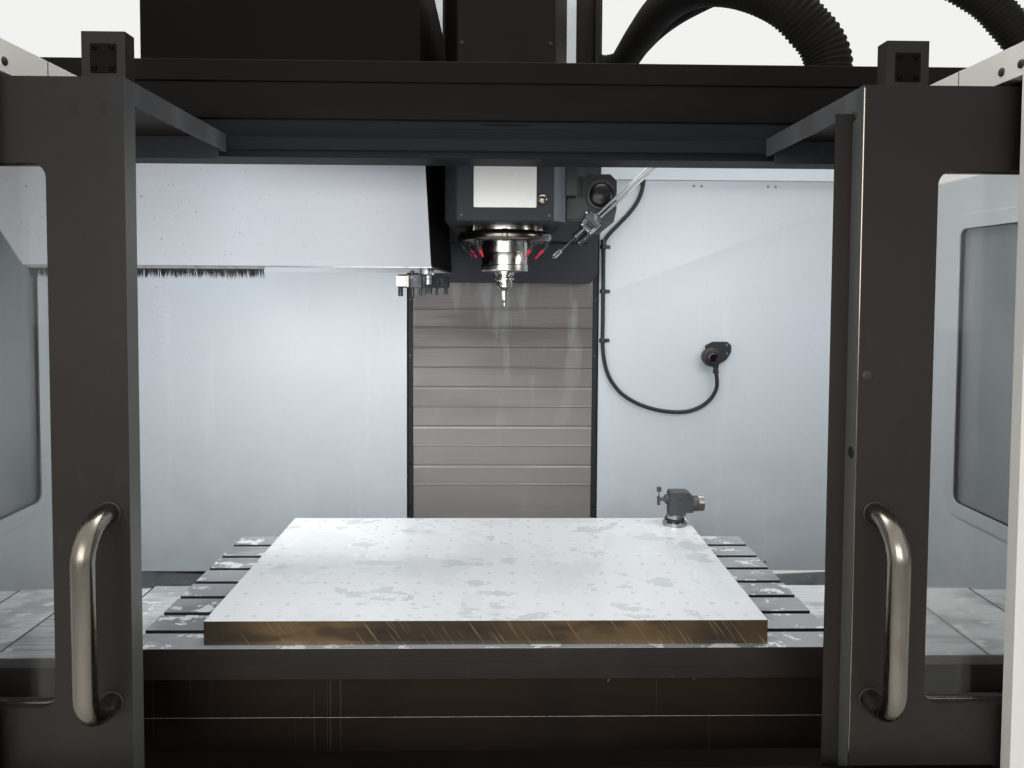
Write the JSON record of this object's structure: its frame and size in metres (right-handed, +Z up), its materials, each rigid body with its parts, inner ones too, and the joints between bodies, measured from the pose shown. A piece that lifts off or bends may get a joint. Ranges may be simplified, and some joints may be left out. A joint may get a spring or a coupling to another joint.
{
  "type": "cnc machining center",
  "caption": "Vertical machining center: open-fronted enclosure with sliding doors, T-slot table on crossed slides, spindle head, arm tool changer and telescopic way covers.",
  "frame": {"origin": "centre of the overall footprint on the floor, with X = 0 on the spindle axis", "axes": "+X along the table's long travel to the operator's right, +Y from the doors back to the column, +Z up"},
  "size_m": [3.7, 3.2, 3.08],
  "materials": {
    "machine_casting": "satin paint",
    "dark_enamel": "satin",
    "head_enamel": "satin",
    "pale_enamel": "semi gloss",
    "white_enamel": "semi gloss",
    "table_iron": "ground",
    "plate_aluminium": "sawn and milled, wet",
    "cover_steel": "brushed",
    "ground_steel": "ground",
    "handle_steel": "satin polish",
    "window_sheet": "clear with film",
    "black_plastic": "matte",
    "red_plastic": "gloss",
    "lamp_lens": "frosted",
    "conduit_rubber": "satin",
    "tray_steel": "satin",
    "setter_metal": "anodised"
  },
  "bodies": {
    "frame": {"base": "machine_casting", "y_rails": "ground_steel", "y_cover_0": "cover_steel", "column": "machine_casting", "z_rails": "ground_steel", "z_cover_0": "cover_steel", "changer_cover": "white_enamel", "changer_drive": "machine_casting", "side_walls": "pale_enamel", "back_wall": "pale_enamel", "front_panels": "white_enamel", "header": "dark_enamel", "work_lights": "lamp_lens", "chip_trays": "tray_steel", "probe_receiver": "black_plastic", "receiver_conduit": "conduit_rubber", "cable_ducts": "conduit_rubber", "cabinet": "white_enamel", "pendant_arm": "machine_casting", "coolant_tank": "tray_steel"},
    "saddle": {"saddle": "machine_casting", "x_rails": "ground_steel", "x_cover_0": "cover_steel", "y_cover_3": "cover_steel"},
    "table": {"table": "table_iron", "fixture_plate": "plate_aluminium", "tool_setter": "setter_metal", "x_cover_4": "cover_steel"},
    "x_sheet_1": {"x_cover_1": "cover_steel"},
    "x_sheet_2": {"x_cover_2": "cover_steel"},
    "x_sheet_3": {"x_cover_3": "cover_steel"},
    "y_sheet_1": {"y_cover_1": "cover_steel"},
    "y_sheet_2": {"y_cover_2": "cover_steel"},
    "z_sheet_1": {"z_cover_1": "cover_steel"},
    "z_sheet_2": {"z_cover_2": "cover_steel"},
    "z_sheet_3": {"z_cover_3": "cover_steel"},
    "z_sheet_4": {"z_cover_4": "cover_steel"},
    "head": {"head": "head_enamel", "spindle_housing": "ground_steel", "spindle_motor": "machine_casting", "coolant_ring": "handle_steel", "spigot_drive": "black_plastic", "z_cover_5": "cover_steel"},
    "spindle": {"spindle": "ground_steel", "tool": "handle_steel"},
    "spigot": {"spigot": "handle_steel"},
    "carousel": {"carousel": "setter_metal"},
    "arm_shaft": {"arm_shaft": "ground_steel"},
    "changer_arm": {"changer_arm": "setter_metal"},
    "auger": {"auger": "tray_steel"},
    "left_door": {"left_door": "dark_enamel", "left_window": "window_sheet", "left_handle": "handle_steel"},
    "right_door": {"right_door": "dark_enamel", "right_window": "window_sheet", "right_handle": "handle_steel"},
    "cabinet_door": {"cabinet_door": "white_enamel"},
    "pendant": {"pendant": "black_plastic"},
    "stop_button": {"stop_button": "red_plastic"},
    "jog_dial": {"jog_dial": "black_plastic"}
  },
  "joints": [
    {"name": "saddle_y", "type": "slide", "parent": "frame", "child": "saddle", "axis": [0, 1, 0], "range_m": [0, 0.762]},
    {"name": "table_x", "type": "slide", "parent": "saddle", "child": "table", "axis": [1, 0, 0], "range_m": [-0.776, 0.85]},
    {"name": "x_sheet_1_slide", "type": "slide", "parent": "saddle", "child": "x_sheet_1", "axis": [1, 0, 0], "range_m": [-0.195, 0.2135]},
    {"name": "x_sheet_2_slide", "type": "slide", "parent": "saddle", "child": "x_sheet_2", "axis": [1, 0, 0], "range_m": [-0.389, 0.426]},
    {"name": "x_sheet_3_slide", "type": "slide", "parent": "saddle", "child": "x_sheet_3", "axis": [1, 0, 0], "range_m": [-0.583, 0.6385]},
    {"name": "y_sheet_1_slide", "type": "slide", "parent": "frame", "child": "y_sheet_1", "axis": [0, 1, 0], "range_m": [-0.001, 0.255]},
    {"name": "y_sheet_2_slide", "type": "slide", "parent": "frame", "child": "y_sheet_2", "axis": [0, 1, 0], "range_m": [-0.001, 0.509]},
    {"name": "head_z", "type": "slide", "parent": "frame", "child": "head", "axis": [0, 0, 1], "range_m": [-0.692, 0]},
    {"name": "z_sheet_1_slide", "type": "slide", "parent": "frame", "child": "z_sheet_1", "axis": [0, 0, 1], "range_m": [-0.1394, 0.001]},
    {"name": "z_sheet_2_slide", "type": "slide", "parent": "frame", "child": "z_sheet_2", "axis": [0, 0, 1], "range_m": [-0.2778, 0.001]},
    {"name": "z_sheet_3_slide", "type": "slide", "parent": "frame", "child": "z_sheet_3", "axis": [0, 0, 1], "range_m": [-0.4162, 0.001]},
    {"name": "z_sheet_4_slide", "type": "slide", "parent": "frame", "child": "z_sheet_4", "axis": [0, 0, 1], "range_m": [-0.5546, 0.001]},
    {"name": "spindle_turn", "type": "hinge", "parent": "head", "child": "spindle", "pos_m": [0, -0.31, 1.766], "axis": [0, 0, 1], "continuous": true},
    {"name": "spigot_tilt", "type": "hinge", "parent": "head", "child": "spigot", "pos_m": [0.271, -0.45, 1.919], "axis": [0, 1, 0], "range_deg": [-8, 10]},
    {"name": "carousel_turn", "type": "hinge", "parent": "frame", "child": "carousel", "pos_m": [-0.975, -0.215, 2.23], "axis": [1, 0, 0], "continuous": true},
    {"name": "arm_drop", "type": "slide", "parent": "frame", "child": "arm_shaft", "axis": [0, 0, 1], "range_m": [-0.11, 0]},
    {"name": "arm_swing", "type": "hinge", "parent": "arm_shaft", "child": "changer_arm", "pos_m": [-0.255, -0.31, 1.75], "axis": [0, 0, 1], "range_deg": [0, 90]},
    {"name": "auger_turn", "type": "hinge", "parent": "frame", "child": "auger", "pos_m": [0, -1.2, 0.275], "axis": [1, 0, 0], "continuous": true},
    {"name": "left_door_slide", "type": "slide", "parent": "frame", "child": "left_door", "axis": [1, 0, 0], "range_m": [0, 0.653]},
    {"name": "right_door_slide", "type": "slide", "parent": "frame", "child": "right_door", "axis": [-1, 0, 0], "range_m": [0, 0.653]},
    {"name": "cabinet_door_hinge", "type": "hinge", "parent": "frame", "child": "cabinet_door", "pos_m": [-0.697, 1.582, 1.4], "axis": [0, 0, 1], "range_deg": [0, 110]},
    {"name": "pendant_swivel", "type": "hinge", "parent": "frame", "child": "pendant", "pos_m": [1.71, -1.466, 1.5], "axis": [0, 0, 1], "range_deg": [0, 80]},
    {"name": "stop_button_press", "type": "slide", "parent": "pendant", "child": "stop_button", "axis": [0, 1, 0], "range_m": [0, 0.006], "stiffness_N_per_m": 1500},
    {"name": "jog_dial_turn", "type": "hinge", "parent": "pendant", "child": "jog_dial", "pos_m": [1.675, -1.576, 1.42], "axis": [0, 1, 0], "continuous": true}
  ],
  "couplings": [
    {"joint": "x_sheet_1_slide", "follows": "table_x", "ratio": 0.25},
    {"joint": "x_sheet_2_slide", "follows": "table_x", "ratio": 0.5},
    {"joint": "x_sheet_3_slide", "follows": "table_x", "ratio": 0.75},
    {"joint": "y_sheet_1_slide", "follows": "saddle_y", "ratio": 0.33333},
    {"joint": "y_sheet_2_slide", "follows": "saddle_y", "ratio": 0.66667},
    {"joint": "z_sheet_1_slide", "follows": "head_z", "ratio": 0.2},
    {"joint": "z_sheet_2_slide", "follows": "head_z", "ratio": 0.4},
    {"joint": "z_sheet_3_slide", "follows": "head_z", "ratio": 0.6},
    {"joint": "z_sheet_4_slide", "follows": "head_z", "ratio": 0.8}
  ]
}
